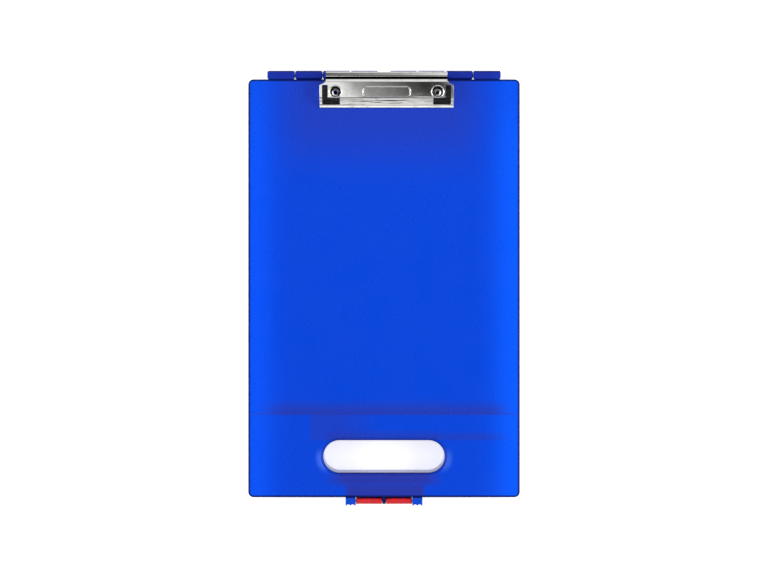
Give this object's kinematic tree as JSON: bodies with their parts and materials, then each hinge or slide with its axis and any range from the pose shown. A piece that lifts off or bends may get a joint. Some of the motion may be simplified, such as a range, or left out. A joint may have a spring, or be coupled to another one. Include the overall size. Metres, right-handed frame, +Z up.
{
  "type": "storage clipboard box",
  "caption": "Clipboard whose board is the hinged lid of a shallow storage case, with a spring clip, a hand hole and a snap latch, in translucent blue plastic.",
  "frame": {"origin": "on the table under the middle of the whole object's box, latch and hinge included", "axes": "+X to the right of the board, +Y from the latch towards the hinge and the clip, +Z up from the table through the writing surface"},
  "size_m": [0.254, 0.4072, 0.0395],
  "materials": {
    "tray_plastic": "translucent blue polypropylene, satin",
    "lid_plastic": "translucent blue polypropylene, satin writing surface",
    "latch_plastic": "glossy red moulded plastic",
    "clip_chrome": "bright nickel-chrome plate on stamped steel",
    "base_steel": "dark zinc-plated steel sheet",
    "rivet_steel": "nickel-plated hollow rivet and washer",
    "pin_steel": "drawn steel wire"
  },
  "bodies": {
    "case": {"tray": "tray_plastic", "hinge_pin_left": "pin_steel", "hinge_pin_right": "pin_steel"},
    "board": {"lid": "lid_plastic", "latch_pin": "pin_steel", "clip_base": "base_steel", "clip_pivot_pin": "pin_steel", "clip_rivet_left": "rivet_steel", "clip_rivet_right": "rivet_steel", "clip_washer_left": "rivet_steel", "clip_washer_right": "rivet_steel"},
    "jaw": {"clip_jaw": "clip_chrome", "clip_spring": "pin_steel"},
    "flap": {"latch": "latch_plastic"}
  },
  "joints": [
    {"name": "lid_hinge", "type": "hinge", "parent": "case", "child": "board", "pos_m": [0, 0.1996, 0.026], "axis": [-1, 0, 0], "range_deg": [0, 180]},
    {"name": "latch_hinge", "type": "hinge", "parent": "board", "child": "flap", "pos_m": [0, -0.19955, 0.026], "axis": [-1, 0, 0], "range_deg": [0, 120]},
    {"name": "clip_hinge", "type": "hinge", "parent": "board", "child": "jaw", "pos_m": [0.0024, 0.191, 0.0337], "axis": [-1, 0, 0], "range_deg": [0, 30], "stiffness_Nm_per_rad": 0.2, "springref_deg": -45.84}
  ]
}
